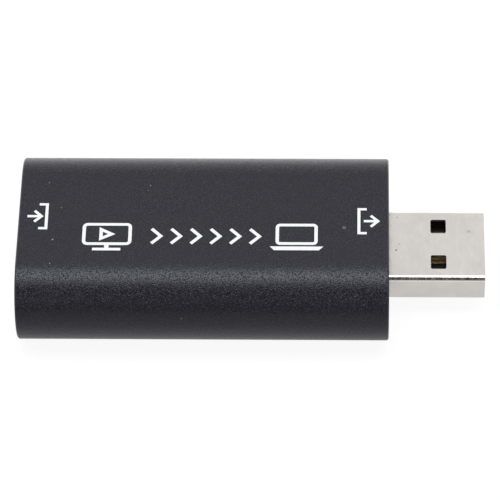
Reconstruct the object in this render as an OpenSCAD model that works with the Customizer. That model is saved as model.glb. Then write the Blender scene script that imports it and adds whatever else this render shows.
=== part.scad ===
// Video capture box, the size of a thumb drive. A black anodised aluminium extrusion is closed by
// two moulded end plates. A circuit board slides into the extrusion's rails: it carries a video
// socket at the input end, a data plug at the output end, and the capture circuit between them.
// Millimetres. The box lies on its flat underside at Z = 0, and +X points out of the data plug.

/* [Sleeve] */
// Length of the extrusion between its two sawn ends
body_l = 50; // [47:0.5:58]
// Width across the two rounded sides
body_w = 28; // [26:0.25:31]
// Height between the flats, which is also twice the radius of the sides
body_h = 13; // [12:0.1:15]
// Wall of the extrusion
wall_t = 1.2; // [1:0.05:1.35]
// Chamfer that breaks the outer edge of each sawn end
edge_break = 0.2; // [0.1:0.05:0.4]
// Thickness of the rail above each edge of the board
rail_t = 0.8; // [0.5:0.1:1.2]
// How far the rails reach in over the board
rail_grip = 0.5; // [0.4:0.05:0.6]
// Free play between the board and the rail above it
rail_gap = 0.1; // [0.05:0.05:0.2]

/* [End plates] */
// Thickness of each plate
plate_t = 2; // [1.6:0.1:2.6]
// How far each plate is set back from the sawn end
plate_set = 0.35; // [0.1:0.05:0.8]
// Gap all round between a plate and the sleeve
plate_gap = 0.06; // [0.04:0.01:0.12]
// Gap between a connector and the hole it passes through
hole_gap = 0.12; // [0.08:0.02:0.24]
// Radius of the ribs that wedge a plate in the sleeve
crush_rib_r = 0.4; // [0.3:0.05:0.6]
// Distance from the middle of a plate to its ribs
crush_rib_y = 5; // [3:0.5:6]
// What is left between a rib's crest and the sleeve
crush_rib_gap = 0.01; // [0.005:0.005:0.03]

/* [Board] */
// Thickness of the circuit board
board_t = 1; // [0.8:0.1:1.2]
// Height of the board above the sleeve's floor
board_lift = 0.85; // [0.7:0.05:1.1]
// Gap between the board's edge and the sleeve
board_side_gap = 0.2; // [0.1:0.05:0.4]
// Gap between the board's end and an end plate
board_end_gap = 0.1; // [0.05:0.05:0.3]
// Radius of the board's corners
board_corner_r = 1; // [0.5:0.1:1.5]
// Gap between a connector's leg or peg and its hole in the board
leg_gap = 0.15; // [0.1:0.05:0.25]
// Distance that the trimmed legs stay above the sleeve's floor
leg_floor_gap = 0.3; // [0.2:0.05:0.4]
// Length of each leg along the board
leg_l = 1.2; // [0.9:0.1:1.5]
// Width of the solder round a leg
solder_spread = 0.45; // [0.3:0.05:0.6]
// Length of leg that stands out of its solder
leg_show = 0.12; // [0.08:0.02:0.2]

/* [Data plug] */
// How far the plug stands out of the sleeve
plug_out = 13; // [12:0.25:15]
// Width of the plug's shell
plug_w = 12; // [11.8:0.05:12.2]
// Height of the plug's shell
plug_h = 4.5; // [4.4:0.05:4.6]
// Sheet that the plug's shell is folded from
plug_sheet = 0.3; // [0.25:0.05:0.4]
// Outer radius of the shell's folds
plug_fold_r = 0.7; // [0.5:0.05:0.8]
// Length of the shell that lies on the board
plug_seat = 6.5; // [5.5:0.25:8]
// Size of a latch window along the plug
window_l = 2.1; // [1.8:0.1:2.5]
// Size of a latch window across the plug
window_w = 2.35; // [2:0.05:2.6]
// Radius of a window's corners
window_r = 0.25; // [0.1:0.05:0.4]
// Distance from the plug's mouth to a window
window_in = 5.2; // [4.5:0.1:6]
// Distance from the plug's middle to the middle of a window
window_y = 3.1; // [2.8:0.05:3.3]
// Width of the seam along the underside
seam_w = 0.08; // [0.05:0.01:0.15]
// Length of the dovetail that locks the seam
seam_key_l = 1.6; // [1.2:0.1:2]
// Reach of the dovetail across the seam
seam_key_w = 0.9; // [0.6:0.1:1.2]
// Flare of the dovetail on each flank
seam_key_flare = 0.3; // [0.2:0.05:0.4]
// Depth of the hollow that takes the socket's blade
plug_hollow_l = 9; // [8.5:0.1:10]
// Thickness of the plastic tongue in the plug
plug_tongue_t = 1.85; // [1.75:0.05:2.1]
// Distance from the plug's mouth to the tip of its tongue
plug_tongue_in = 0.4; // [0.2:0.05:0.8]
// Width of a plug contact
plug_pin_w = 1; // [0.8:0.05:1.2]
// Thickness of a plug contact
plug_pin_t = 0.25; // [0.2:0.05:0.3]
// Height of a plug contact above the tongue
plug_pin_proud = 0.1; // [0.05:0.05:0.15]
// Distance from the plug's middle to its two inner contacts
inner_pin_y = 1; // [0.9:0.05:1.1]
// Distance from the plug's middle to its two outer contacts
outer_pin_y = 3.5; // [3.3:0.05:3.7]
// Distance from the plug's mouth to its outer contacts
outer_pin_in = 1.3; // [1:0.1:1.8]
// Extra distance from the mouth to the inner contacts, which mate later
inner_pin_late = 1; // [0.6:0.1:1.4]
// Length of a plug contact's foot on the board
plug_foot_l = 1.1; // [0.8:0.1:1.4]
// Distance from the back of the plug to its first pair of legs
plug_leg_in = 1.4; // [1.2:0.1:1.8]
// Distance between the two pairs of legs
plug_leg_pitch = 3.2; // [2.4:0.1:3.4]

/* [Video socket] */
// Width of the opening at its top
socket_w = 14; // [13.9:0.05:14.2]
// Width of the opening at its floor
socket_floor_w = 10.6; // [10:0.1:11.2]
// Height of the opening
socket_h = 4.55; // [4.5:0.05:4.7]
// Height of the upright sides below the opening's top
socket_side_h = 2.4; // [2.2:0.1:2.7]
// Radius of the opening's corners
socket_corner_r = 0.4; // [0.2:0.05:0.6]
// Sheet that the socket's shell is folded from
socket_sheet = 0.3; // [0.25:0.05:0.35]
// Length of the socket's shell
socket_l = 11.6; // [11:0.1:12.5]
// Width of the flared lip round the mouth
lip_w = 0.4; // [0.2:0.05:0.6]
// Thickness of the flared lip
lip_t = 0.4; // [0.3:0.05:0.5]
// Length of the plastic block that closes the back
socket_back_l = 3.4; // [3:0.1:4]
// Distance from the block's front to its foot on the board
foot_in = 0.4; // [0.2:0.1:0.8]
// Margin of the foot beside the corners of the shell's floor
foot_margin = 0.3; // [0.2:0.05:0.6]
// Gap between a plastic insulator and its metal shell
insulator_gap = 0.03; // [0.02:0.01:0.06]
// How far a plastic insulator stands out behind its metal shell
shell_in = 0.5; // [0.3:0.05:0.7]
// Width of the tongue in the socket
tongue_w = 10.2; // [9.9:0.05:10.4]
// Thickness of the tongue
tongue_t = 1.2; // [1:0.05:1.4]
// Distance from the mouth to the tongue's tip
tongue_in = 1.3; // [1:0.1:1.8]
// Distance between neighbouring contacts on one side of the tongue
pin_pitch = 1; // [0.96:0.01:1.04]
// Contacts on top of the tongue, one more than underneath
upper_pins = 10; // [8:1:10]
// Width of a socket contact
pin_w = 0.28; // [0.22:0.02:0.34]
// Thickness of a socket contact
pin_t = 0.16; // [0.12:0.02:0.2]
// Height of a socket contact above the tongue
pin_proud = 0.05; // [0.02:0.01:0.08]
// Distance from the tongue's tip to its contacts
pin_in = 0.5; // [0.3:0.1:0.8]
// Length of a socket contact's foot on the board
pin_foot_l = 0.9; // [0.6:0.1:1.2]
// Length of a spring finger in the socket's roof
finger_l = 4.6; // [4:0.1:5]
// Width of a spring finger
finger_w = 1.8; // [1.4:0.1:2.2]
// Width of the slot round a spring finger
finger_slot = 0.3; // [0.2:0.05:0.4]
// Distance from the mouth to the root of a spring finger
finger_in = 1.6; // [1.3:0.1:2]
// Distance from the socket's middle to a spring finger
finger_y = 3; // [2.6:0.1:3.6]
// Radius of the bump under a finger's free end
bump_r = 0.5; // [0.4:0.05:0.7]
// Depth that the bump reaches into the opening
bump_reach = 0.2; // [0.1:0.05:0.3]
// Distance from the mouth to the socket's first pair of legs
socket_leg_in = 4.4; // [4:0.1:5]
// Distance between the socket's two pairs of legs
socket_leg_pitch = 5.4; // [5:0.1:5.8]
// Radius of the socket's locating pegs
peg_r = 0.45; // [0.35:0.05:0.6]
// Distance from the socket's middle to a peg
peg_y = 3.4; // [3:0.1:3.8]
// Depth that a peg reaches into the board
peg_l = 0.7; // [0.5:0.05:0.75]

/* [Chips] */
// Side of the capture chip's moulded body
chip_w = 10; // [9:0.25:10.5]
// Thickness of the capture chip's body
chip_t = 1.4; // [1:0.1:1.6]
// Leads on each side of the capture chip
chip_side_leads = 16; // [12:1:16]
// Distance between the capture chip's leads
chip_lead_pitch = 0.5; // [0.4:0.05:0.55]
// Width of a capture chip lead
chip_lead_w = 0.22; // [0.18:0.02:0.28]
// Length of the memory chip's body
memory_l = 4.9; // [4.5:0.1:5.2]
// Width of the memory chip's body
memory_w = 3.9; // [3.6:0.1:4.1]
// Thickness of the memory chip's body
memory_t = 1.4; // [1.2:0.1:1.6]
// Length of the voltage regulator's body
regulator_l = 2.9; // [2.7:0.1:3.1]
// Width of the voltage regulator's body
regulator_w = 1.6; // [1.5:0.1:1.8]
// Thickness of the voltage regulator's body
regulator_t = 1.1; // [0.9:0.1:1.3]
// Distance between leads on the memory chip
memory_lead_pitch = 1.27; // [1.1:0.01:1.3]
// Distance between leads on the voltage regulator
regulator_lead_pitch = 0.95; // [0.8:0.05:1]
// Width of a lead on the memory chip and the regulator
small_lead_w = 0.4; // [0.3:0.05:0.5]
// Thickness of every chip lead
lead_t = 0.14; // [0.1:0.02:0.18]
// Length of a lead between the body and its bend
lead_shoulder_l = 0.3; // [0.2:0.05:0.4]
// Length of a lead's foot on the board
lead_foot_l = 0.6; // [0.4:0.05:0.7]
// Gap between a chip's body and the board
chip_standoff = 0.1; // [0.05:0.05:0.2]
// Radius of the dimple that marks a chip's first lead
dimple_r = 0.4; // [0.3:0.05:0.5]
// Depth of that dimple
dimple_depth = 0.08; // [0.04:0.02:0.12]
// Distance from a chip's corner to its dimple
dimple_in = 0.8; // [0.65:0.05:0.9]

/* [Small parts] */
// Length of the crystal
crystal_l = 3.2; // [2.8:0.1:3.6]
// Width of the crystal
crystal_w = 2.5; // [2.2:0.1:2.8]
// Thickness of the crystal's ceramic base
crystal_base_t = 0.45; // [0.3:0.05:0.6]
// Thickness of the crystal's metal lid
crystal_lid_t = 0.25; // [0.15:0.05:0.35]
// Margin of the base round the lid
crystal_margin = 0.2; // [0.1:0.05:0.3]
// Side of the power inductor
inductor_w = 3; // [2.6:0.1:3.4]
// Thickness of the power inductor
inductor_t = 1.5; // [1.2:0.1:1.8]
// Length of the reservoir capacitor
reservoir_l = 3.5; // [3:0.1:3.8]
// Width of the reservoir capacitor
reservoir_w = 2.8; // [2.4:0.1:3]
// Thickness of the reservoir capacitor
reservoir_t = 1.8; // [1.4:0.1:2]
// Length of a ceramic chip capacitor
cap_l = 1.6; // [1.4:0.05:1.8]
// Width of a ceramic chip capacitor
cap_w = 0.8; // [0.7:0.05:0.9]
// Thickness of a ceramic chip capacitor
cap_t = 0.8; // [0.6:0.05:0.9]
// Length of a chip resistor
res_l = 1.6; // [1.4:0.05:1.8]
// Width of a chip resistor
res_w = 0.8; // [0.7:0.05:0.9]
// Thickness of a chip resistor
res_t = 0.45; // [0.35:0.05:0.55]
// Length of the metal cap on each end of a small part
cap_end_l = 0.35; // [0.25:0.05:0.45]
// Length of a surge protection array
surge_l = 2.5; // [2.2:0.1:2.8]
// Width of a surge protection array
surge_w = 1; // [0.8:0.1:1.2]
// Thickness of a surge protection array
surge_t = 0.5; // [0.4:0.05:0.6]

/* [Layout] */
// Distance from the middle of the bay to the capture chip, towards the socket
capture_in = 1.5; // [1.2:0.1:1.8]
// Gap between neighbouring parts on the board
part_gap = 0.3; // [0.2:0.05:0.4]
// Gap between the rails and the parts beside them
edge_gap = 0.4; // [0.3:0.05:0.6]
// Distance between capacitors in a row
cap_pitch = 3; // [2.4:0.1:3.2]
// Distance between resistors in a column
res_pitch = 1.3; // [1.1:0.05:1.5]
// Distance between surge protection arrays
surge_pitch = 3.1; // [2.9:0.05:3.4]

/* [Hidden] */
$fn = 64;

// A cut runs this far past the face that it opens
over = 1;

// Along the box: sawn ends, plates, board, socket and plug
overall_l = body_l + plug_out;
sleeve_x0 = -overall_l / 2;
sleeve_x1 = sleeve_x0 + body_l;
tip_x = overall_l / 2;
input_face_x = sleeve_x0 + plate_set;
input_seat_x = input_face_x + plate_t;
output_face_x = sleeve_x1 - plate_set;
output_seat_x = output_face_x - plate_t;
board_x0 = input_seat_x + board_end_gap;
board_x1 = output_seat_x - board_end_gap;
socket_x1 = input_face_x + socket_l;
plug_x0 = board_x1 - plug_seat;
bay_x = (socket_x1 + pin_foot_l + plug_x0 - plug_foot_l) / 2;

// Up through the box: sleeve, board, plug and socket
mid_z = body_h / 2;
inner_w = body_w - 2 * wall_t;
inner_h = body_h - 2 * wall_t;
board_base = wall_t + board_lift;
board_top = board_base + board_t;
plug_z = board_top + plug_h / 2;
leg_tip_z = wall_t + leg_floor_gap;
socket_floor_z = board_top + socket_sheet;
socket_top_z = socket_floor_z + socket_h;
tongue_z = socket_floor_z + socket_h / 2;
plug_tongue_z = board_top + plug_sheet + plug_tongue_t;

// Across the box: the board fills the sleeve at the height of its underside
half_bore = (body_w - body_h) / 2 + sqrt(pow(inner_h / 2, 2) - pow(board_base - mid_z, 2));
board_w = 2 * (half_bore - board_side_gap);
rail_y = board_w / 2 - rail_grip;

// The block at the back of the socket, and its foot through the shell's floor
socket_back_x = socket_x1 - socket_back_l;
foot_w = socket_floor_w - 2 * (socket_corner_r + foot_margin);
peg_x = socket_x1 - socket_back_l / 2;

// Legs as [x, y, sheet] and the contacts of both connectors as places across the box
socket_leg_y = socket_w / 2 + socket_sheet / 2;
plug_leg_y = plug_w / 2 - plug_sheet / 2;
socket_legs = [for (k = [0, 1], s = [-1, 1])
    [input_face_x + socket_leg_in + k * socket_leg_pitch, s * socket_leg_y, socket_sheet]];
plug_legs = [for (k = [0, 1], s = [-1, 1])
    [plug_x0 + plug_leg_in + k * plug_leg_pitch, s * plug_leg_y, plug_sheet]];
upper_pin_ys = row(upper_pins, pin_pitch);
lower_pin_ys = row(upper_pins - 1, pin_pitch);

// Places of the parts on the board, from the middle of the bay between the connectors: a column of
// small parts on each side of the capture chip, then the parts of the supply and the memory chip
lead_reach = lead_shoulder_l + lead_foot_l;
edge_y = rail_y - edge_gap;
chip_reach = chip_w / 2 + lead_reach + part_gap;
input_column_x = -capture_in - chip_reach - res_l / 2;
output_column_x = -capture_in + chip_reach + res_l / 2;
surge_x = input_column_x - res_l / 2 - part_gap - surge_w / 2;
supply_x = output_column_x + res_l / 2 + part_gap;
capture_at = [-capture_in, 0];
crystal_at = [-capture_in + chip_reach + crystal_w / 2, 0];
memory_at = [supply_x + memory_l / 2, edge_y - lead_reach - memory_w / 2];
regulator_at = [supply_x + regulator_l / 2, lead_reach + regulator_w / 2 - edge_y];
inductor_at = [supply_x + regulator_l + part_gap + inductor_w / 2, inductor_w / 2 - edge_y];
reservoir_at = [surge_x, reservoir_w / 2 - edge_y];
surge_at = [for (y = row(3, surge_pitch)) [surge_x, y]];
cap_at = concat(
    [for (x = row(5, cap_pitch)) [x - capture_in, edge_y - cap_w / 2]],
    [for (x = row(4, cap_pitch)) [x - capture_in, cap_w / 2 - edge_y]]
);
crystal_side_y = crystal_l / 2 + part_gap + res_w / 2;
res_at = concat(
    [for (y = row(4, res_pitch)) [input_column_x, y]],
    [for (s = [-1, 1], k = [0, 1]) [output_column_x, s * (crystal_side_y + k * res_pitch)]]
);

// The outline of the socket's opening, from the floor's right corner round to its left one
socket_outline = [
    [socket_floor_w / 2, socket_floor_z],
    [socket_w / 2, socket_top_z - socket_side_h],
    [socket_w / 2, socket_top_z],
    [-socket_w / 2, socket_top_z],
    [-socket_w / 2, socket_top_z - socket_side_h],
    [-socket_floor_w / 2, socket_floor_z]
];

// Places of n things in a row about the middle
function row(n, pitch) = [for (i = [0 : n - 1]) (i - (n - 1) / 2) * pitch];

// Corners of a rectangle about a point, anticlockwise
function rectangle(w, h, at = [0, 0]) =
    [for (s = [[1, -1], [1, 1], [-1, 1], [-1, -1]]) at + [s[0] * w / 2, s[1] * h / 2]];

// The normal that points into an anticlockwise outline from the edge before corner i
function inward(p, i) =
    let (edge = p[i] - p[(i + len(p) - 1) % len(p)])
    [-edge[1], edge[0]] / norm(edge);

// An outline moved in by d, or out where d is negative
function inset(p, d) = [for (i = [0 : len(p) - 1])
    let (a = inward(p, i), b = inward(p, (i + 1) % len(p)))
    p[i] + d * (a + b) / (1 + a * b)];

// A convex outline with corners of radius r, as true arcs
module rounded(p, r) {
    centres = inset(p, r);
    polygon([for (i = [0 : len(p) - 1])
        each [centres[i] - r * inward(p, i), centres[i] - r * inward(p, (i + 1) % len(p))]]);
    for (c = centres) translate(c) circle(r);
}

// A flat bar with round ends
module stadium(w, h) {
    square([w - h, h], center = true);
    for (s = [-1, 1]) translate([s * (w - h) / 2, 0]) circle(h / 2);
}

// A section drawn as [y, z], run along X
module along_x(x0, x1) {
    translate([x0, 0, 0]) rotate([90, 0, 90]) linear_extrude(x1 - x0) children();
}

// A profile drawn as [x, z], run across the box about y
module across_y(y, w) {
    translate([0, y + w / 2, 0]) rotate([90, 0, 0]) linear_extrude(w) children();
}

// A plan drawn as [x, y], run up from z0
module up_z(z0, z1) {
    translate([0, 0, z0]) linear_extrude(z1 - z0) children();
}

module span(low, high) {
    translate(low) cube(high - low);
}

// The extrusion. Its rails are milled back at both ends, so that the end plates seat on them
module housing_sleeve() {
    color("#2b2b2f") {
        difference() {
            sleeve_bar();
            along_x(sleeve_x0 - over, sleeve_x1 + over)
                translate([0, mid_z]) stadium(inner_w, inner_h);
        }
        along_x(input_seat_x, output_seat_x) intersection() {
            translate([0, mid_z]) stadium(body_w - wall_t, body_h - wall_t);
            for (s = [-1, 1]) translate([s * (rail_y + body_w / 2), 0]) {
                translate([-body_w / 2, 0]) square([body_w, board_base]);
                translate([-body_w / 2, board_top + rail_gap]) square([body_w, rail_t]);
            }
        }
    }
}

// The sleeve's outside as a solid bar with broken edges: a flat slab between two round sides
module sleeve_bar() {
    r = body_h / 2;
    flank = [
        [sleeve_x0, r - edge_break], [sleeve_x0 + edge_break, r],
        [sleeve_x1 - edge_break, r], [sleeve_x1, r - edge_break]
    ];
    half_bar = concat([[sleeve_x0, 0]], flank, [[sleeve_x1, 0]]);
    translate([0, 0, mid_z]) {
        across_y(0, body_w - body_h) {
            polygon(half_bar);
            mirror([0, 1]) polygon(half_bar);
        }
        for (s = [-1, 1])
            translate([0, s * (body_w - body_h) / 2, 0]) rotate([0, 90, 0])
                rotate_extrude() polygon([for (p = half_bar) [p[1], p[0]]]);
    }
}

// A moulded plate that fills the sleeve's bore, with ribs that wedge it there
module plate_blank(x0, x1) {
    along_x(x0, x1) translate([0, mid_z]) {
        stadium(inner_w - 2 * plate_gap, inner_h - 2 * plate_gap);
        for (s = [-1, 1], t = [-1, 1])
            translate([s * crush_rib_y, t * (inner_h / 2 - crush_rib_gap - crush_rib_r)])
                circle(crush_rib_r);
    }
}

module input_end_plate() {
    color("#1a1a1c") difference() {
        plate_blank(input_face_x, input_seat_x);
        along_x(input_face_x - over, input_seat_x + over)
            rounded(inset(socket_outline, -socket_sheet - hole_gap),
                socket_corner_r + socket_sheet + hole_gap);
        along_x(input_face_x - over, input_face_x + lip_t + hole_gap)
            rounded(inset(socket_outline, -socket_sheet - lip_w - hole_gap),
                socket_corner_r + socket_sheet + lip_w + hole_gap);
    }
}

module output_end_plate() {
    color("#1a1a1c") difference() {
        plate_blank(output_seat_x, output_face_x);
        along_x(output_seat_x - over, output_face_x + over)
            rounded(rectangle(plug_w + 2 * hole_gap, plug_h + 2 * hole_gap, [0, plug_z]),
                plug_fold_r + hole_gap);
    }
}

module circuit_board() {
    color("#1f5a3a") difference() {
        up_z(board_base, board_top)
            rounded(rectangle(board_x1 - board_x0, board_w, [(board_x0 + board_x1) / 2, 0]),
                board_corner_r);
        up_z(board_base - over, board_top + over)
            for (leg = concat(socket_legs, plug_legs))
                translate([leg[0], leg[1]])
                    stadium(leg_l + leg[2] + 2 * leg_gap, leg[2] + 2 * leg_gap);
        for (s = [-1, 1])
            translate([peg_x, s * peg_y, board_base - over])
                cylinder(h = board_t + 2 * over, r = peg_r + leg_gap);
    }
}

// The flat legs of a connector, from a height inside its side walls down through the board
module legs(sites, from_z) {
    for (leg = sites)
        span([leg[0] - leg_l / 2, leg[1] - leg[2] / 2, leg_tip_z],
            [leg[0] + leg_l / 2, leg[1] + leg[2] / 2, from_z]);
}

// A folded shell with a flared lip, two spring fingers in its roof and four legs
module video_socket_shell() {
    color("#c9c7c2") {
        difference() {
            union() {
                along_x(input_face_x, socket_x1 - shell_in)
                    rounded(inset(socket_outline, -socket_sheet), socket_corner_r + socket_sheet);
                along_x(input_face_x, input_face_x + lip_t)
                    rounded(inset(socket_outline, -socket_sheet - lip_w),
                        socket_corner_r + socket_sheet + lip_w);
            }
            along_x(input_face_x - over, socket_x1 + over) rounded(socket_outline, socket_corner_r);
            for (s = [-1, 1]) finger_slots(s * finger_y);
            span([socket_back_x + foot_in, -foot_w / 2, board_top - over],
                [socket_x1 + over, foot_w / 2, socket_floor_z + insulator_gap]);
        }
        for (s = [-1, 1]) finger_bump(s * finger_y);
        legs(socket_legs, socket_top_z - socket_side_h / 2);
    }
}

// The slot that frees a finger on three sides, open towards the mouth
module finger_slots(y) {
    half = finger_w / 2;
    x0 = input_face_x + finger_in;
    up_z(socket_top_z - over / 2, socket_top_z + over) difference() {
        translate([x0, y - half - finger_slot])
            square([finger_l + finger_slot, finger_w + 2 * finger_slot]);
        translate([x0 - over, y - half]) square([finger_l + over, finger_w]);
    }
}

module finger_bump(y) {
    across_y(y, finger_w) intersection() {
        translate([input_face_x + finger_in + finger_l - bump_r, socket_top_z - bump_reach + bump_r])
            circle(bump_r);
        translate([input_face_x, socket_top_z - bump_reach])
            square([socket_l, bump_reach + socket_sheet]);
    }
}

// The block that closes the socket, its tongue, its foot on the board and its pegs
module video_socket_insulator() {
    color("#161617") difference() {
        union() {
            along_x(socket_back_x, socket_x1)
                rounded(inset(socket_outline, insulator_gap), socket_corner_r);
            span([input_face_x + tongue_in, -tongue_w / 2, tongue_z - tongue_t / 2],
                [socket_x1, tongue_w / 2, tongue_z + tongue_t / 2]);
            span([socket_back_x + foot_in + insulator_gap, -foot_w / 2 + insulator_gap, board_top],
                [socket_x1, foot_w / 2 - insulator_gap, tongue_z]);
            for (s = [-1, 1])
                translate([peg_x, s * peg_y, board_top - peg_l]) cylinder(h = peg_l + over, r = peg_r);
        }
        upper_socket_pins();
        lower_socket_pins();
    }
}

// A strip contact drawn as [distance in front of the block's back, height above the board]: a blade,
// the drop behind the block, and a foot on the board
module strip_contact(reach, top, t, foot) {
    translate([-t, top - t]) square([reach + t, t]);
    translate([-t, 0]) square([t, top]);
    translate([-foot, 0]) square([foot, t]);
}

module socket_pin(y, top) {
    reach = socket_x1 - input_face_x - tongue_in - pin_in;
    translate([socket_x1, y, board_top]) mirror([1, 0, 0])
        across_y(0, pin_w) strip_contact(reach, top - board_top, pin_t, pin_foot_l);
}

module upper_socket_pins() {
    for (y = upper_pin_ys) socket_pin(y, tongue_z + tongue_t / 2 + pin_proud);
}

module lower_socket_pins() {
    for (y = lower_pin_ys) socket_pin(y, tongue_z - tongue_t / 2 - pin_proud + pin_t);
}

module video_socket_upper_contacts() {
    color("#cfa75b") upper_socket_pins();
}

module video_socket_lower_contacts() {
    color("#cfa75b") lower_socket_pins();
}

// A folded shell with two latch windows above and below, a locked seam underneath and four legs
module data_plug_shell() {
    color("#d3cfca") {
        difference() {
            along_x(plug_x0 + shell_in, tip_x) difference() {
                rounded(rectangle(plug_w, plug_h, [0, plug_z]), plug_fold_r);
                rounded(rectangle(plug_w - 2 * plug_sheet, plug_h - 2 * plug_sheet, [0, plug_z]),
                    plug_fold_r - plug_sheet);
            }
            for (s = [-1, 1])
                up_z(board_top - over, board_top + plug_h + over)
                    rounded(rectangle(window_l, window_w, [tip_x - window_in - window_l / 2, s * window_y]),
                        window_r);
            up_z(board_top - over, board_top + 2 * plug_sheet) plug_seam();
        }
        legs(plug_legs, plug_z);
    }
}

// The seam's plan: a slit along the middle that steps round a dovetail behind the windows
module plug_seam() {
    key_x = (output_face_x + tip_x - window_in - window_l) / 2;
    difference() {
        union() {
            translate([plug_x0 - over, -seam_w / 2]) square([tip_x - plug_x0 + 2 * over, seam_w]);
            dovetail(key_x, seam_key_l, seam_key_w);
        }
        dovetail(key_x, seam_key_l - 2 * seam_w, seam_key_w - seam_w, over);
    }
}

// A dovetail that widens away from the seam, with its root carried back by an extra length
module dovetail(x, l, w, root = 0) {
    polygon([
        [x - l / 2, -root], [x + l / 2, -root], [x + l / 2, 0],
        [x + l / 2 + seam_key_flare, w], [x - l / 2 - seam_key_flare, w], [x - l / 2, 0]
    ]);
}

// The block at the back of the plug and the tongue that carries its contacts
module data_plug_insulator() {
    inside_w = plug_w - 2 * (plug_sheet + insulator_gap);
    inside_h = plug_h - 2 * (plug_sheet + insulator_gap);
    color("#161617") difference() {
        along_x(plug_x0, tip_x - plug_tongue_in)
            rounded(rectangle(inside_w, inside_h, [0, plug_z]), plug_fold_r - plug_sheet);
        span([tip_x - plug_hollow_l, -plug_w / 2, plug_tongue_z],
            [tip_x + over, plug_w / 2, plug_z + plug_h / 2]);
        plug_pins();
    }
}

module plug_pin(y, in) {
    translate([plug_x0, y, board_top])
        across_y(0, plug_pin_w)
            strip_contact(tip_x - in - plug_x0, plug_tongue_z + plug_pin_proud - board_top,
                plug_pin_t, plug_foot_l);
}

module plug_pins() {
    for (s = [-1, 1]) {
        plug_pin(s * outer_pin_y, outer_pin_in);
        plug_pin(s * inner_pin_y, outer_pin_in + inner_pin_late);
    }
}

module data_plug_contacts() {
    color("#cfa75b") plug_pins();
}

// A cone of solder under the board round each leg
module leg_solder() {
    color("#b9bcc0") for (leg = concat(socket_legs, plug_legs))
        difference() {
            translate([leg[0], leg[1], leg_tip_z + leg_show])
                cylinder(h = board_base - leg_tip_z - leg_show,
                    r1 = leg_l / 2 + leg_gap, r2 = leg_l / 2 + solder_spread);
            legs([leg], board_top);
        }
}

module on_board(at) {
    translate([bay_x + at[0], at[1], board_top]) children();
}

// A moulded chip body above the board, with a dimple by its first lead
module chip_body(l, w, t) {
    difference() {
        span([-l / 2, -w / 2, chip_standoff], [l / 2, w / 2, chip_standoff + t]);
        translate([-l / 2 + dimple_in, -w / 2 + dimple_in, chip_standoff + t - dimple_depth])
            cylinder(h = over, r = dimple_r);
    }
}

// A row of gull wing leads on the side of a body that faces -Y, at a distance from its middle
module lead_row(side, places, w, t) {
    top = chip_standoff + t / 2;
    for (x = places)
        translate([x, -side, 0]) rotate([0, 0, -90]) across_y(0, w) {
            translate([0, top - lead_t]) square([lead_shoulder_l + lead_t, lead_t]);
            translate([lead_shoulder_l, 0]) square([lead_t, top]);
            translate([lead_shoulder_l, 0]) square([lead_foot_l, lead_t]);
        }
}

module capture_chip() {
    color("#1c1c1e") on_board(capture_at) chip_body(chip_w, chip_w, chip_t);
}

module capture_chip_leads() {
    color("#b9bcc0") on_board(capture_at)
        for (a = [0 : 90 : 270]) rotate([0, 0, a])
            lead_row(chip_w / 2, row(chip_side_leads, chip_lead_pitch), chip_lead_w, chip_t);
}

module memory_chip() {
    color("#1c1c1e") on_board(memory_at) chip_body(memory_l, memory_w, memory_t);
}

module memory_chip_leads() {
    color("#b9bcc0") on_board(memory_at)
        for (a = [0, 180]) rotate([0, 0, a])
            lead_row(memory_w / 2, row(4, memory_lead_pitch), small_lead_w, memory_t);
}

module voltage_regulator() {
    color("#1c1c1e") on_board(regulator_at)
        span([-regulator_l / 2, -regulator_w / 2, chip_standoff],
            [regulator_l / 2, regulator_w / 2, chip_standoff + regulator_t]);
}

// Three leads on one side and the outer two on the other
module voltage_regulator_leads() {
    color("#b9bcc0") on_board(regulator_at) {
        lead_row(regulator_w / 2, row(3, regulator_lead_pitch), small_lead_w, regulator_t);
        rotate([0, 0, 180])
            lead_row(regulator_w / 2, row(2, 2 * regulator_lead_pitch), small_lead_w, regulator_t);
    }
}

module crystal_base() {
    color("#d8cfb8") on_board(crystal_at)
        span([-crystal_w / 2, -crystal_l / 2, 0], [crystal_w / 2, crystal_l / 2, crystal_base_t]);
}

module crystal_lid() {
    lid_w = crystal_w - 2 * crystal_margin;
    lid_l = crystal_l - 2 * crystal_margin;
    color("#c9c7c2") on_board(crystal_at)
        up_z(crystal_base_t, crystal_base_t + crystal_lid_t)
            rounded(rectangle(lid_w, lid_l), crystal_margin);
}

// The middle of a two-ended part, and its two metal end caps
module small_body(l, w, t) {
    span([-l / 2 + cap_end_l, -w / 2, 0], [l / 2 - cap_end_l, w / 2, t]);
}

module small_ends(l, w, t) {
    for (s = [-1, 1])
        translate([s * (l - cap_end_l) / 2, 0, t / 2]) cube([cap_end_l, w, t], center = true);
}

module power_inductor() {
    color("#3a3a3c") on_board(inductor_at) small_body(inductor_w, inductor_w, inductor_t);
}

module power_inductor_ends() {
    color("#b9bcc0") on_board(inductor_at) small_ends(inductor_w, inductor_w, inductor_t);
}

module reservoir_capacitor() {
    color("#c98f2c") on_board(reservoir_at) small_body(reservoir_l, reservoir_w, reservoir_t);
}

module reservoir_capacitor_ends() {
    color("#b9bcc0") on_board(reservoir_at) small_ends(reservoir_l, reservoir_w, reservoir_t);
}

module chip_capacitors() {
    color("#9a7048") for (at = cap_at) on_board(at) small_body(cap_l, cap_w, cap_t);
}

module chip_capacitor_ends() {
    color("#b9bcc0") for (at = cap_at) on_board(at) small_ends(cap_l, cap_w, cap_t);
}

module chip_resistors() {
    color("#202022") for (at = res_at) on_board(at) small_body(res_l, res_w, res_t);
}

module chip_resistor_ends() {
    color("#b9bcc0") for (at = res_at) on_board(at) small_ends(res_l, res_w, res_t);
}

module surge_arrays() {
    color("#1c1c1e") for (at = surge_at) on_board(at)
        span([-surge_w / 2, -surge_l / 2, 0], [surge_w / 2, surge_l / 2, surge_t]);
}

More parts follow.
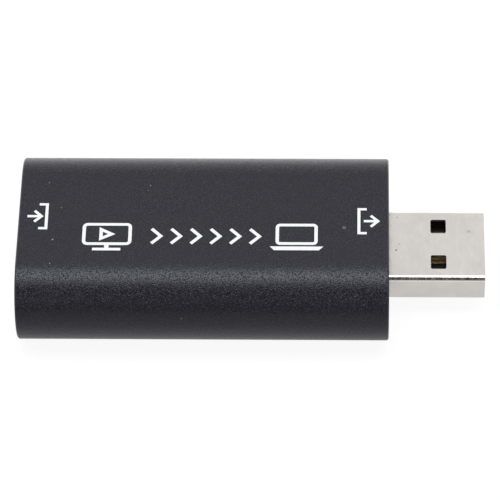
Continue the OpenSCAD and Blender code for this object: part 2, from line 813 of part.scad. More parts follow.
housing_sleeve();
input_end_plate();
output_end_plate();
circuit_board();
video_socket_shell();
video_socket_insulator();
video_socket_upper_contacts();
video_socket_lower_contacts();
data_plug_shell();
data_plug_insulator();
data_plug_contacts();
leg_solder();
capture_chip();
capture_chip_leads();
memory_chip();
memory_chip_leads();
voltage_regulator();
voltage_regulator_leads();
crystal_base();
crystal_lid();
power_inductor();
power_inductor_ends();
reservoir_capacitor();
reservoir_capacitor_ends();
chip_capacitors();
chip_capacitor_ends();
chip_resistors();
chip_resistor_ends();
surge_arrays();
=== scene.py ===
import math

import bpy
from mathutils import Matrix, Vector


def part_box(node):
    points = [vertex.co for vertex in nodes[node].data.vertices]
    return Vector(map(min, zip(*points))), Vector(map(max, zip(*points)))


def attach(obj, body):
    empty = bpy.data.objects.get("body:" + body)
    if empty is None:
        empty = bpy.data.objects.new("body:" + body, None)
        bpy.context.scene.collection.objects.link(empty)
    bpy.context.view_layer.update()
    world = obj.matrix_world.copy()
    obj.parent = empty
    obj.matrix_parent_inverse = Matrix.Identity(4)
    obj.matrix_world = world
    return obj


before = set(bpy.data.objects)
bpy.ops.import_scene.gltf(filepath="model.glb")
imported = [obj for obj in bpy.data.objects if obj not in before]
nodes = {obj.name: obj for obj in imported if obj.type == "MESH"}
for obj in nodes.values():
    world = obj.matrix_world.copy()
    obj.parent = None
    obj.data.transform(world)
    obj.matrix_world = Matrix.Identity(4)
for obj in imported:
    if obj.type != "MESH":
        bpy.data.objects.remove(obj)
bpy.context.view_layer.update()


# The camera looks down on the marked face from the front, on a long lens, a little to the plug's side.
# Its distance and lens are worked out for a square picture.
MM = 0.001
camera_rise = math.radians(51.12)
camera_swing = math.radians(2.502)
camera_roll = math.radians(-1.715)
camera_distance = 496.31 * MM
camera_clip = 5 * MM
looks_at = Vector((-0.344, -0.300, 6.5)) * MM
picture_px = 500
focal_px = 3645.8


def stands(swing, rise):
    """The way from the box to what stands round it, at this swing from the front and this rise."""
    return Vector((math.sin(swing) * math.cos(rise), -math.cos(swing) * math.cos(rise), math.sin(rise)))


scene = bpy.context.scene
scene.view_settings.view_transform = "Standard"
back = stands(camera_swing, camera_rise)
level = Vector((0, 0, 1)).cross(back).normalized()
right = math.cos(camera_roll) * level + math.sin(camera_roll) * back.cross(level)
turn = Matrix((right, back.cross(right), back)).transposed().to_4x4()
camera_data = bpy.data.cameras.new("camera")
camera_data.lens = focal_px / picture_px * camera_data.sensor_width
camera_data.clip_start = camera_clip
camera = bpy.data.objects.new("camera", camera_data)
camera.matrix_world = Matrix.Translation(looks_at + camera_distance * back) @ turn
scene.collection.objects.link(camera)
scene.camera = camera


# The floor is a sheet of white card. The camera sees it as plain white with a faint shadow, shiny pieces
# mirror it, and from below it is clear.
# What shiny pieces mirror is a painted glow: painted light strongest behind the box, a painted shade just
# in front of it, and least far in front of it.
floor_reach = 3.0
floor_drop = 0.02 * MM
card_white = (0.9, 0.9, 0.9, 1)
card_glow = 0.9
card_seen = 1.02
card_painted_shade_near, card_mirrored_front = 0.65, 0.87
card_mirrored_far, card_mirrored_behind = 0.08, 1.60
card_near_from, card_near_to = -12 * MM, -16 * MM
card_far_from, card_far_to = -14 * MM, -62 * MM
card_behind_from, card_behind_to = -12 * MM, 60 * MM


def add(tree, kind, inputs, **options):
    """Adds a node with its options, and fills its inputs with values or with other nodes' outputs."""
    node = tree.nodes.new("ShaderNode" + kind)
    for option, value in options.items():
        setattr(node, option, value)
    for socket, value in inputs.items():
        if isinstance(value, bpy.types.NodeSocket):
            tree.links.new(value, node.inputs[socket])
        else:
            node.inputs[socket].default_value = value
    return node


def ramp(tree, value, start, end, low=0.0, high=1.0):
    """A soft step from low to high while the value goes from start to end."""
    inputs = {"Value": value, "From Min": start, "From Max": end, "To Min": low, "To Max": high}
    return add(tree, "MapRange", inputs, interpolation_type="SMOOTHSTEP").outputs[0]


def sums(tree, operation, a, b, clamp=False):
    return add(tree, "Math", {0: a, 1: b}, operation=operation, use_clamp=clamp).outputs[0]


def size_of(tree, value):
    """The value without its sign."""
    return add(tree, "Math", {0: value}, operation="ABSOLUTE").outputs[0]


floor_mesh = bpy.data.meshes.new("floor")
floor_corners = [(-1, -1), (1, -1), (1, 1), (-1, 1)]
floor_corners = [(x * floor_reach, y * floor_reach, -floor_drop) for x, y in floor_corners]
floor_mesh.from_pydata(floor_corners, [], [(0, 1, 2, 3)])
floor = bpy.data.objects.new("floor", floor_mesh)
scene.collection.objects.link(floor)

card = bpy.data.materials.new("white_card")
card.use_nodes = True
tree = card.node_tree
tree.nodes.clear()
rays = add(tree, "LightPath", {}).outputs
shiny = sums(tree, "ADD", rays["Is Glossy Ray"], rays["Is Transmission Ray"], clamp=True)
seen = sums(tree, "ADD", rays["Is Camera Ray"], shiny, clamp=True)
sheet = add(tree, "NewGeometry", {}).outputs
depth = add(tree, "SeparateXYZ", {0: sheet["Position"]}).outputs["Y"]
# Shiny pieces see a painted glow on the card: a painted shade just in front of the box, painted light
# strongest behind it, fading far in front.
front = ramp(tree, depth, card_far_from, card_far_to, card_mirrored_front, card_mirrored_far)
ahead = ramp(tree, depth, card_near_from, card_near_to, card_painted_shade_near, front)
behind = ramp(tree, depth, card_behind_from, card_behind_to, card_painted_shade_near, card_mirrored_behind)
mirrored = sums(tree, "MAXIMUM", ahead, behind)
brightness = add(tree, "Mix", {"Factor": rays["Is Camera Ray"], "A": mirrored, "B": card_seen}).outputs[0]
matt = add(tree, "BsdfDiffuse", {"Color": card_white}).outputs[0]
glow = add(tree, "Emission", {"Strength": brightness}).outputs[0]
glowing = sums(tree, "MULTIPLY", seen, card_glow)
top = add(tree, "MixShader", {"Fac": glowing, 1: matt, 2: glow}).outputs[0]
clear = add(tree, "BsdfTransparent", {}).outputs[0]
both = add(tree, "MixShader", {"Fac": sheet["Backfacing"], 1: top, 2: clear}).outputs[0]
add(tree, "OutputMaterial", {"Surface": both})
floor_mesh.materials.append(card)


# The light is one long softbox overhead and two slim upright lamps low in front, which make the grain
# glitter. The room is pale, but for a dim front wall, and to the camera it is plain white.
softbox_height = 600 * MM
softbox_back = -22 * MM
softbox_size = (760 * MM, 270 * MM)
softbox_watts = 3.7
lamp_swing, lamp_rise = math.radians(22), math.radians(27)
lamp_distance = 700 * MM
lamp_size = (60 * MM, 220 * MM)
lamp_watts = 0.34
room_white = (1, 1, 1, 1)
room_low, room_high = 1.06, 0.775
room_low_to, room_high_from = 0.0, 0.8
room_dim = 0.045
room_dim_from, room_bright_from = -0.35, 0.3
room_aside_from, room_aside_to = 0.45, 0.72


def lamp(name, size, watts, place):
    """A flat rectangular lamp at a place, which faces down."""
    data = bpy.data.lights.new(name, "AREA")
    data.shape = "RECTANGLE"
    data.size, data.size_y = size
    data.energy = watts
    stand = bpy.data.objects.new(name, data)
    stand.location = place
    scene.collection.objects.link(stand)
    return stand


lamp("softbox", softbox_size, softbox_watts, (0, softbox_back, softbox_height))
for swing in (-lamp_swing, lamp_swing):
    lamp_way = stands(swing, lamp_rise)
    front_lamp = lamp("front_lamp", lamp_size, lamp_watts, lamp_distance * lamp_way)
    front_lamp.rotation_euler = lamp_way.to_track_quat("Z", "Y").to_euler()

room = bpy.data.worlds.new("room")
scene.world = room
room.use_nodes = True
tree = room.node_tree
tree.nodes.clear()
way = add(tree, "SeparateXYZ", {0: add(tree, "TexCoord", {}).outputs["Generated"]}).outputs
bright = ramp(tree, way["Z"], room_low_to, room_high_from, room_low, room_high)
toward_back = ramp(tree, way["Y"], room_dim_from, room_bright_from)
aside = ramp(tree, size_of(tree, way["X"]), room_aside_from, room_aside_to)
pale = sums(tree, "MAXIMUM", toward_back, aside)
lit = add(tree, "Mix", {"Factor": pale, "A": room_dim, "B": bright}).outputs[0]
rays = add(tree, "LightPath", {}).outputs
strength = add(tree, "Mix", {"Factor": rays["Is Camera Ray"], "A": lit, "B": 1.0}).outputs[0]
sky = add(tree, "Background", {"Color": room_white, "Strength": strength}).outputs[0]
add(tree, "OutputWorld", {"Surface": sky})


# The sleeve is an aluminium extrusion, sawn to length, blasted with fine beads and anodised black.
# The blasting leaves a fine grain that glitters where the light falls off, the sawn edges are rubbed a
# little paler, and a few flecks of dust lie on it.
weld_reach = 0.0005 * MM
whole_face_bend = math.radians(0.6)
sharp_bend = math.radians(35)
spot_core = 0.4
grain_patch, grain_speck, grain_drift = 0.8, 1.3, 40.0


def soften(node, width, segments=2):
    """Joins a CAD node's facets into whole faces and rounds its sharp edges."""
    obj = nodes[node]
    obj.data.shade_smooth()
    weld = obj.modifiers.new("weld", "WELD")
    weld.merge_threshold = weld_reach
    whole = obj.modifiers.new("whole_faces", "DECIMATE")
    whole.decimate_type = "DISSOLVE"
    whole.angle_limit = whole_face_bend
    edges = obj.modifiers.new("edges", "BEVEL")
    edges.width = width
    edges.segments = segments
    edges.limit_method = "ANGLE"
    edges.angle_limit = sharp_bend
    shading = obj.modifiers.new("shading", "WEIGHTED_NORMAL")
    shading.weight = 100


def finish(node, material):
    materials = nodes[node].data.materials
    materials.clear()
    materials.append(material)


def start_material(name, **values):
    """A material of one Principled shader, with the values set on the shader's own sockets."""
    material = bpy.data.materials.new(name)
    material.use_nodes = True
    surface = material.node_tree.nodes["Principled BSDF"].inputs
    for socket, value in values.items():
        surface[socket.replace("_", " ")].default_value = value
    return material, material.node_tree, surface


def effect_group(name, inputs, outputs):
    """A shader node group with float sockets of these names."""
    group = bpy.data.node_groups.new(name, "ShaderNodeTree")
    for in_out, names in (("INPUT", inputs), ("OUTPUT", outputs)):
        for socket in names:
            group.interface.new_socket(socket, in_out=in_out, socket_type="NodeSocketFloat")
    taken = group.nodes.new("NodeGroupInput").outputs
    given = group.nodes.new("NodeGroupOutput").inputs
    return group, taken, given


def effect(tree, group, **values):
    node = tree.nodes.new("ShaderNodeGroup")
    node.node_tree = group
    for socket, value in values.items():
        node.inputs[socket].default_value = value
    return node.outputs


def own_place(tree):
    """The point on the surface, in the frame's own coordinates."""
    return add(tree, "TexCoord", {}).outputs["Object"]


def noise(tree, place, scale, detail=0.0):
    return add(tree, "TexNoise", {"Vector": place, "Scale": scale, "Detail": detail}).outputs[0]


def bump(tree, height, depth):
    return add(tree, "Bump", {"Height": height, "Distance": depth}).outputs["Normal"]


def tint(tree, mask, plain, marked):
    """A colour that goes from plain to marked where the mask is 1."""
    return add(tree, "Mix", {0: mask, 6: plain, 7: marked}, data_type="RGBA").outputs[2]


def spots(tree, colour, places, height, marked):
    """Lays small round marks over a colour, each given by its x, y, reach in mm and strength."""
    place = own_place(tree)
    for x, y, reach, strength in places:
        middle = (x * MM, y * MM, height)
        away = add(tree, "VectorMath", {0: place, 1: middle}, operation="DISTANCE").outputs["Value"]
        spot = ramp(tree, away, reach * MM, spot_core * reach * MM, 0.0, strength)
        colour = tint(tree, spot, colour, marked)
    return colour


grain, taken, given = effect_group("grain", ["Size", "Pitting"], ["Height", "Speckle", "Shade"])
place = own_place(grain)
scale = sums(grain, "DIVIDE", 1.0, taken["Size"])
deep = noise(grain, place, sums(grain, "MULTIPLY", scale, grain_patch))
deep = ramp(grain, deep, 0.45, 0.75, 1.0, taken["Pitting"])
height = sums(grain, "SUBTRACT", noise(grain, place, scale), 0.5)
grain.links.new(sums(grain, "MULTIPLY", height, deep), given["Height"])
specks = noise(grain, place, sums(grain, "MULTIPLY", scale, grain_speck))
grain.links.new(ramp(grain, specks, 0.35, 0.75), given["Speckle"])
shade = noise(grain, place, sums(grain, "DIVIDE", scale, grain_drift), 3.0)
grain.links.new(ramp(grain, shade, 0.3, 0.7), given["Shade"])

edge_wear, taken, given = effect_group("edge_wear", ["Reach", "Breaks"], ["Mask"])
true = add(edge_wear, "NewGeometry", {}).outputs["Normal"]
eased = add(edge_wear, "Bevel", {"Radius": taken["Reach"]}, samples=4).outputs[0]
alike = add(edge_wear, "VectorMath", {0: true, 1: eased}, operation="DOT_PRODUCT").outputs["Value"]
edge = ramp(edge_wear, alike, 0.98, 0.86)
scale = sums(edge_wear, "DIVIDE", 1.0, taken["Breaks"])
broken = ramp(edge_wear, noise(edge_wear, own_place(edge_wear), scale, 2.0), 0.4, 0.65)
edge_wear.links.new(sums(edge_wear, "MULTIPLY", edge, broken), given["Mask"])

dust, taken, given = effect_group("dust", ["Spacing", "Size"], ["Mask"])
scale = sums(dust, "DIVIDE", 1.0, taken["Spacing"])
cells = add(dust, "TexVoronoi", {"Vector": own_place(dust), "Scale": scale}).outputs
chance = add(dust, "SeparateColor", {0: cells["Color"]}).outputs
reach = sums(dust, "MULTIPLY", taken["Size"], ramp(dust, chance["Red"], 0.4, 1.0))
away = sums(dust, "MULTIPLY", cells["Distance"], taken["Spacing"])
dust.links.new(sums(dust, "LESS_THAN", away, reach), given["Mask"])

sleeve_edge = 0.06 * MM
sleeve_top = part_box("housing_sleeve")[1][2]
blast_size, blast_depth = 0.13 * MM, 0.0165 * MM
anodise_deep = (0.0066, 0.0060, 0.0092, 1)
anodise_pale = (0.0140, 0.0130, 0.0190, 1)
anodise_glint = (0.87, 0.90, 1.0, 1)
rubbed = (0.085, 0.085, 0.092, 1)
speck = (0.22, 0.22, 0.23, 1)
flecks = [
    (12.45, -1.60, 0.36, 0.35),
    (-26.69, -3.86, 0.16, 1.0),
    (-13.87, 5.65, 0.13, 0.7),
    (-27.64, 6.11, 0.13, 0.6),
    (-25.77, 1.71, 0.12, 0.6),
    (-14.11, 4.76, 0.11, 0.4),
]
anodise, tree, surface = start_material(
    "blasted_black_anodise", Roughness=0.28, Specular_IOR_Level=0.36, Specular_Tint=anodise_glint
)
blast = effect(tree, grain, Size=blast_size, Pitting=8.0)
colour = tint(tree, blast["Speckle"], anodise_deep, anodise_pale)
worn = effect(tree, edge_wear, Reach=0.12 * MM, Breaks=0.4 * MM)
colour = tint(tree, worn["Mask"], colour, rubbed)
dusty = effect(tree, dust, Spacing=2.2 * MM, Size=0.10 * MM)
colour = tint(tree, dusty["Mask"], colour, speck)
colour = spots(tree, colour, flecks, sleeve_top, speck)
tree.links.new(colour, surface["Base Color"])
tree.links.new(bump(tree, blast["Height"], blast_depth), surface["Normal"])
soften("housing_sleeve", sleeve_edge)
finish("housing_sleeve", anodise)


# The marks are white ink, printed on the top through a fine screen. A screen, a row of arrowheads and a
# computer stand along the middle, and an arrow into a bracket or out of one at each end.
ink_top, ink_foot = sleeve_top + 0.006 * MM, sleeve_top - 0.002 * MM
ink_dull = (0.62, 0.625, 0.635, 1)
ink_full = (0.70, 0.705, 0.715, 1)
ink_grain, ink_depth = 0.12 * MM, 0.012 * MM
wide_line, slim_line = 0.46, 0.40
row_y = -3.2
arrowhead_l, arrowhead_h = 1.25, 2.5
arrowhead_places = (-13.4, -10.75, -8.1, -5.45, -2.8, -0.15)
barb = 0.95


def ink_line(mesh, points, width, closed=False):
    """Adds a line of ink with mitred corners to a mesh of corners and faces."""
    corners, faces = mesh
    first = len(corners)
    points = [Vector(point) * MM for point in points]
    count = len(points)
    for i, point in enumerate(points):
        steps = []
        if closed or i:
            steps.append(point - points[i - 1])
        if closed or i < count - 1:
            steps.append(points[(i + 1) % count] - point)
        sides = [Vector((-step.y, step.x)).normalized() for step in steps]
        mitre = sum(sides, Vector((0, 0))).normalized()
        mitre *= width / 2 / mitre.dot(sides[0])
        for side in (point + mitre, point - mitre):
            corners.extend([(*side, ink_top), (*side, ink_foot)])
    for i in range(count if closed else count - 1):
        a, b = first + 4 * i, first + 4 * ((i + 1) % count)
        faces.extend([(a, a + 2, b + 2, b), (a + 1, b + 1, b + 3, a + 3)])
        faces.extend([(a, b, b + 1, a + 1), (a + 2, a + 3, b + 3, b + 2)])
    if not closed:
        last = first + 4 * (count - 1)
        faces.extend([(first, first + 1, first + 3, first + 2), (last, last + 2, last + 3, last + 1)])


def ink_shape(mesh, points):
    """Adds a filled shape of ink, its corners given anticlockwise, to a mesh of corners and faces."""
    corners, faces = mesh
    first, count = len(corners), len(points)
    corners.extend((x * MM, y * MM, ink_top) for x, y in points)
    corners.extend((x * MM, y * MM, ink_foot) for x, y in points)
    tops, feet = [range(start, start + count) for start in (first, first + count)]
    faces.extend([tuple(tops), tuple(reversed(feet))])
    faces.extend((tops[i - 1], feet[i - 1], feet[i], tops[i]) for i in range(count))


def round_box(x0, y0, x1, y1, radius, steps=5):
    """The corners of a box with rounded corners, anticlockwise."""
    path = []
    for turn, (x, y) in enumerate(((x1, y1), (x0, y1), (x0, y0), (x1, y0))):
        middle_x = x - math.copysign(radius, x - (x0 + x1) / 2)
        middle_y = y - math.copysign(radius, y - (y0 + y1) / 2)
        for step in range(steps + 1):
            angle = math.pi / 2 * (turn + step / steps)
            path.append((middle_x + radius * math.cos(angle), middle_y + radius * math.sin(angle)))
    return path


def arrow(tail, tip, y, width):
    """The outline of an arrow that points along x, with barbs at 45 degrees."""
    half, slant = width / 2, width / 2 / math.sqrt(2)
    upper = [
        (tip + 2 * slant, 0),
        (tip - barb + slant, barb + slant),
        (tip - barb - slant, barb - slant),
        (tip - 2 * slant - half, half),
        (tail, half),
    ]
    return [(x, y + dy) for x, dy in upper] + [(x, y - dy) for x, dy in reversed(upper[1:])]


def arrowhead(x):
    """The line of an arrowhead that points along x."""
    half = arrowhead_h / 2
    return [(x, row_y + half), (x + arrowhead_l, row_y), (x, row_y - half)]


marks = {
    "mark_screen": (
        wide_line,
        [
            (round_box(-22.5, -4.55, -16.3, -1.2, 0.5), True),
            ([(-18.75, -2.875), (-20.2, -2.1), (-20.2, -3.65)], True),
        ],
        [
            [(-19.7, -5.25), (-19.1, -5.25), (-19.1, -4.785), (-19.7, -4.785)],
            [(-21.3, -5.7), (-17.5, -5.7), (-17.5, -5.255), (-21.3, -5.255)],
        ],
    ),
    "mark_arrowheads": (wide_line, [(arrowhead(x), False) for x in arrowhead_places], []),
    "mark_computer": (
        wide_line,
        [(round_box(3.5, -4.4, 8.7, -1.2, 0.4), True)],
        [[(3.1, -5.55), (9.1, -5.55), (9.7, -4.9), (2.5, -4.9)]],
    ),
    "mark_input": (
        slim_line,
        [([(-28.75, 2.25), (-27.7, 2.25), (-27.7, -1.9), (-28.75, -1.9)], False)],
        [arrow(-30.3, -28.4, 0.18, slim_line)],
    ),
    "mark_output": (
        slim_line,
        [([(15.5, 1.6), (14.45, 1.6), (14.45, -2.55), (15.5, -2.55)], False)],
        [arrow(15.1, 17.0, -0.47, slim_line)],
    ),
}
ink, tree, surface = start_material("white_ink", Roughness=0.55)
print_grain = effect(tree, grain, Size=ink_grain, Pitting=1.5)
tree.links.new(tint(tree, print_grain["Speckle"], ink_dull, ink_full), surface["Base Color"])
tree.links.new(bump(tree, print_grain["Height"], ink_depth), surface["Normal"])
for name, (width, lines, shapes) in marks.items():
    corners, faces = [], []
    for points, closed in lines:
        ink_line((corners, faces), points, width * MM, closed)
    for points in shapes:
        ink_shape((corners, faces), points)
    mark_mesh = bpy.data.meshes.new(name)
    mark_mesh.from_pydata(corners, [], faces)
    mark_mesh.materials.append(ink)
    mark = bpy.data.objects.new(name, mark_mesh)
    scene.collection.objects.link(mark)
    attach(mark, "root")


# The two end plates are moulded in black plastic with a fine grain. They are pressed into the sleeve's
# ends, round the socket and the plug, and their edges have worn a little paler.
plate_edge = 0.08 * MM
plate_dark = (0.0105, 0.0105, 0.0112, 1)
plate_pale = (0.0150, 0.0150, 0.0158, 1)
plate_worn = (0.035, 0.035, 0.037, 1)
plate_smooth, plate_rough = 0.48, 0.6
plastic, tree, surface = start_material("grained_black_plastic", Specular_IOR_Level=0.45)
mould = effect(tree, grain, Size=0.11 * MM, Pitting=1.6)
colour = tint(tree, mould["Shade"], plate_dark, plate_pale)
worn = effect(tree, edge_wear, Reach=0.1 * MM, Breaks=0.6 * MM)
colour = tint(tree, worn["Mask"], colour, plate_worn)
dusty = effect(tree, dust, Spacing=2.2 * MM, Size=0.08 * MM)
tree.links.new(tint(tree, dusty["Mask"], colour, speck), surface["Base Color"])
tree.links.new(ramp(tree, mould["Speckle"], 0.0, 1.0, plate_smooth, plate_rough), surface["Roughness"])
tree.links.new(bump(tree, mould["Height"], 0.02 * MM), surface["Normal"])
for plate in ("input_end_plate", "output_end_plate"):
    soften(plate, plate_edge)
    finish(plate, plastic)


# The circuit board is glass laminate with copper under a green solder mask. It slides into the sleeve's
# rails, and its sawn edges show the bare laminate.
board_edge = 0.04 * MM
mask_green = (0.008, 0.070, 0.026, 1)
mask_green_pale = (0.012, 0.094, 0.036, 1)
laminate = (0.34, 0.30, 0.13, 1)
mask_rough, laminate_rough = 0.32, 0.8
board, tree, surface = start_material("green_mask_on_laminate", Coat_Weight=0.3, Coat_Roughness=0.15)
weave = effect(tree, grain, Size=0.35 * MM, Pitting=1.0)
upright = add(tree, "SeparateXYZ", {0: add(tree, "NewGeometry", {}).outputs["Normal"]}).outputs["Z"]
sawn = ramp(tree, size_of(tree, upright), 0.8, 0.6)
colour = tint(tree, weave["Shade"], mask_green, mask_green_pale)
tree.links.new(tint(tree, sawn, colour, laminate), surface["Base Color"])
tree.links.new(ramp(tree, sawn, 0.0, 1.0, mask_rough, laminate_rough), surface["Roughness"])
tree.links.new(bump(tree, weave["Height"], 0.02 * MM), surface["Normal"])
soften("circuit_board", board_edge)
finish("circuit_board", board)


# The video socket is a folded steel shell, plated with nickel, round a black moulded block whose tongue
# carries the gold-flashed contacts. Its legs are soldered through the board.
socket_edge = 0.05 * MM
contact_edge = 0.02 * MM
socket_dull = (0.60, 0.585, 0.56, 1)
socket_bright = (0.68, 0.665, 0.64, 1)
moulded_dark = (0.0060, 0.0060, 0.0062, 1)
moulded_pale = (0.0100, 0.0100, 0.0102, 1)
flash_dull = (0.83, 0.63, 0.36, 1)
flash_bright = (0.92, 0.72, 0.44, 1)
rolled_stretch = (1.0, 0.25, 0.06)
rolled_mottle, rolled_fine = 0.12, 2.0

streaks, taken, given = effect_group("rolled_sheet", ["Width"], ["Streak", "Mottle", "Height"])
place = own_place(streaks)
scale = sums(streaks, "DIVIDE", 1.0, taken["Width"])
drawn_out = add(streaks, "Mapping", {"Vector": place, "Scale": rolled_stretch}).outputs[0]
streak = noise(streaks, drawn_out, scale, 2.0)
streaks.links.new(ramp(streaks, streak, 0.35, 0.7), given["Streak"])
mottle = noise(streaks, place, sums(streaks, "MULTIPLY", scale, rolled_mottle), 4.0)
streaks.links.new(ramp(streaks, mottle, 0.35, 0.65), given["Mottle"])
fine = noise(streaks, place, sums(streaks, "MULTIPLY", scale, rolled_fine), 1.0)
streaks.links.new(sums(streaks, "ADD", streak, fine), given["Height"])


def plated(name, dull, bright, width, smooth, rough, depth, metallic=1.0):
    """Plate over rolled and folded sheet. The colour is left for its piece to finish and join up."""
    material, tree, surface = start_material(name, Metallic=metallic)
    sheet = effect(tree, streaks, Width=width)
    colour = tint(tree, sheet["Mottle"], dull, bright)
    tree.links.new(ramp(tree, sheet["Streak"], 0.0, 1.0, smooth, rough), surface["Roughness"])
    tree.links.new(bump(tree, sheet["Height"], depth), surface["Normal"])
    return material, tree, surface, colour


socket_nickel, tree, surface, colour = plated(
    "socket_nickel_plate", socket_dull, socket_bright, 0.35 * MM, 0.20, 0.29, 0.001 * MM
)
tree.links.new(colour, surface["Base Color"])
soften("video_socket_shell", socket_edge)
finish("video_socket_shell", socket_nickel)

moulded, tree, surface = start_material("satin_black_moulding", Specular_IOR_Level=0.4)
flow = effect(tree, grain, Size=0.14 * MM, Pitting=1.0)
tree.links.new(tint(tree, flow["Shade"], moulded_dark, moulded_pale), surface["Base Color"])
tree.links.new(ramp(tree, flow["Shade"], 0.0, 1.0, 0.42, 0.52), surface["Roughness"])
tree.links.new(bump(tree, flow["Height"], 0.008 * MM), surface["Normal"])
soften("video_socket_insulator", socket_edge)
finish("video_socket_insulator", moulded)

gold_flash, tree, surface, colour = plated(
    "gold_flash", flash_dull, flash_bright, 0.3 * MM, 0.10, 0.16, 0.0002 * MM, metallic=0.9
)
tree.links.new(colour, surface["Base Color"])
for contacts in ("video_socket_upper_contacts", "video_socket_lower_contacts"):
    soften(contacts, contact_edge)
    finish(contacts, gold_flash)


# The data plug is a folded steel shell, plated with nickel, with four latch windows and a seam locked
# underneath. Its sheared faces are dull and dark, partly bare cut steel and partly painted shade along the
# mouth and window edges, and its top is scuffed. Inside, a black moulded tongue carries four gold-flashed
# strips.
plug_edge = 0.09 * MM
strip_edge = 0.1 * MM
plug_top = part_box("data_plug_shell")[1][2]
plug_dull = (0.790, 0.762, 0.728, 1)
plug_bright = (0.845, 0.800, 0.765, 1)
pitted = (0.30, 0.28, 0.26, 1)
sheared_and_shade = (0.16, 0.15, 0.14, 1)
cut_and_shade_inside = 5.4 * MM
facing_from, facing_to = 0.4, 0.7
scuffs = [
    (19.69, 4.65, 0.15, 0.6),
    (19.53, -1.06, 0.20, 1.0),
    (19.94, -0.01, 0.12, 0.7),
    (29.42, 2.23, 0.40, 0.3),
]
plug_nickel, tree, surface, colour = plated(
    "plug_nickel_plate", plug_dull, plug_bright, 0.35 * MM, 0.16, 0.25, 0.0005 * MM
)
colour = spots(tree, colour, scuffs, plug_top, pitted)
# Faces turned along the plug, and faces turned sideways near its middle, take the dark sheared colour:
# partly the bare cut steel, partly painted shade along the mouth and window edges.
facing = add(tree, "SeparateXYZ", {0: add(tree, "NewGeometry", {}).outputs["True Normal"]}).outputs
along = ramp(tree, size_of(tree, facing["X"]), facing_from, facing_to)
across = ramp(tree, size_of(tree, facing["Y"]), facing_from, facing_to)
beside = add(tree, "SeparateXYZ", {0: own_place(tree)}).outputs["Y"]
inside = sums(tree, "LESS_THAN", size_of(tree, beside), cut_and_shade_inside)
cut_and_shade_mask = sums(tree, "MAXIMUM", along, sums(tree, "MULTIPLY", across, inside))
tree.links.new(tint(tree, cut_and_shade_mask, colour, sheared_and_shade), surface["Base Color"])
soften("data_plug_shell", plug_edge, 3)
finish("data_plug_shell", plug_nickel)
soften("data_plug_insulator", socket_edge)
finish("data_plug_insulator", moulded)
soften("data_plug_contacts", strip_edge, 3)
finish("data_plug_contacts", gold_flash)


# The solder is bright tin that has wetted the connectors' legs and set in small cones under the board.
# Its skin is a little uneven, so it is duller in places.
solder_dark = (0.52, 0.53, 0.54, 1)
solder_light = (0.66, 0.67, 0.68, 1)


def grained(name, dark, light, size, pitting, depth, smooth, rough, **values):
    """A solid of one stuff with a grain, a shade that drifts, and a roughness that follows the grain."""
    material, tree, surface = start_material(name, **values)
    stuff = effect(tree, grain, Size=size, Pitting=pitting)
    tree.links.new(tint(tree, stuff["Shade"], dark, light), surface["Base Color"])
    tree.links.new(ramp(tree, stuff["Speckle"], 0.0, 1.0, smooth, rough), surface["Roughness"])
    tree.links.new(bump(tree, stuff["Height"], depth), surface["Normal"])
    return material


solder = grained(
    "set_solder", solder_dark, solder_light, 0.25 * MM, 1.0, 0.02 * MM, 0.22, 0.38, Metallic=1.0
)
finish("leg_solder", solder)
nodes["leg_solder"].data.shade_smooth()


# The chips are moulded in dark epoxy, with a dimple at the first lead, and stand on gull wing leads
# plated with matt tin. The leads are soldered flat on the board.
chip_edge = 0.03 * MM
lead_edge = 0.015 * MM
chip_pitting = 1.5
epoxy_dark = (0.012, 0.012, 0.013, 1)
epoxy_light = (0.020, 0.020, 0.021, 1)
tin_dark = (0.55, 0.55, 0.54, 1)
tin_light = (0.66, 0.66, 0.65, 1)
epoxy = grained(
    "moulded_epoxy", epoxy_dark, epoxy_light, 0.08 * MM, chip_pitting, 0.015 * MM, 0.5, 0.68
)
tinned = grained(
    "matt_tin", tin_dark, tin_light, 0.06 * MM, chip_pitting, 0.004 * MM, 0.32, 0.46, Metallic=1.0
)
for chip in ("capture_chip", "memory_chip", "voltage_regulator"):
    soften(chip, chip_edge)
    finish(chip, epoxy)
    soften(chip + "_leads", lead_edge)
    finish(chip + "_leads", tinned)


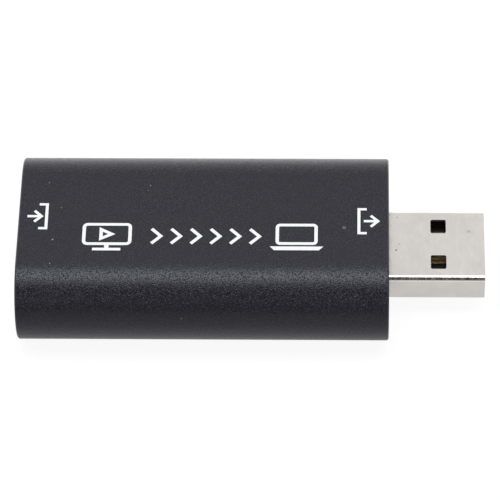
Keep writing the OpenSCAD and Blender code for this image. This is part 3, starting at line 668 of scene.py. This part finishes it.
# The small parts are soldered to the board by their ends: the clock crystal with its plated lid, the
# inductor, the reservoir capacitor, the ceramic capacitors, the resistors and the surge arrays.
small_edge = 0.04 * MM
ceramic_dark, ceramic_light = (0.52, 0.45, 0.33, 1), (0.62, 0.55, 0.41, 1)
lid_dark, lid_light = (0.62, 0.58, 0.50, 1), (0.70, 0.66, 0.57, 1)
ferrite_dark, ferrite_light = (0.020, 0.020, 0.022, 1), (0.034, 0.034, 0.036, 1)
resin_dark, resin_light = (0.52, 0.23, 0.020, 1), (0.62, 0.30, 0.034, 1)
dielectric_dark, dielectric_light = (0.24, 0.13, 0.060, 1), (0.33, 0.19, 0.095, 1)
glaze_dark, glaze_light = (0.008, 0.008, 0.010, 1), (0.014, 0.014, 0.017, 1)
ceramic = grained(
    "fired_ceramic", ceramic_dark, ceramic_light, 0.08 * MM, chip_pitting, 0.01 * MM, 0.6, 0.75
)
can_lid = grained(
    "plated_lid", lid_dark, lid_light, 0.2 * MM, chip_pitting, 0.002 * MM, 0.2, 0.3, Metallic=1.0
)
ferrite = grained(
    "pressed_ferrite", ferrite_dark, ferrite_light, 0.12 * MM, chip_pitting, 0.03 * MM, 0.55, 0.75
)
resin = grained(
    "moulded_resin", resin_dark, resin_light, 0.1 * MM, chip_pitting, 0.01 * MM, 0.4, 0.55
)
dielectric = grained(
    "fired_dielectric", dielectric_dark, dielectric_light, 0.07 * MM, chip_pitting, 0.006 * MM, 0.35, 0.5
)
glaze = grained(
    "glazed_film", glaze_dark, glaze_light, 0.1 * MM, chip_pitting, 0.004 * MM, 0.15, 0.28
)
small_parts = {
    "crystal_base": ceramic,
    "crystal_lid": can_lid,
    "power_inductor": ferrite,
    "power_inductor_ends": tinned,
    "reservoir_capacitor": resin,
    "reservoir_capacitor_ends": tinned,
    "chip_capacitors": dielectric,
    "chip_capacitor_ends": tinned,
    "chip_resistors": glaze,
    "chip_resistor_ends": tinned,
    "surge_arrays": epoxy,
}
for part, material in small_parts.items():
    soften(part, small_edge)
    finish(part, material)
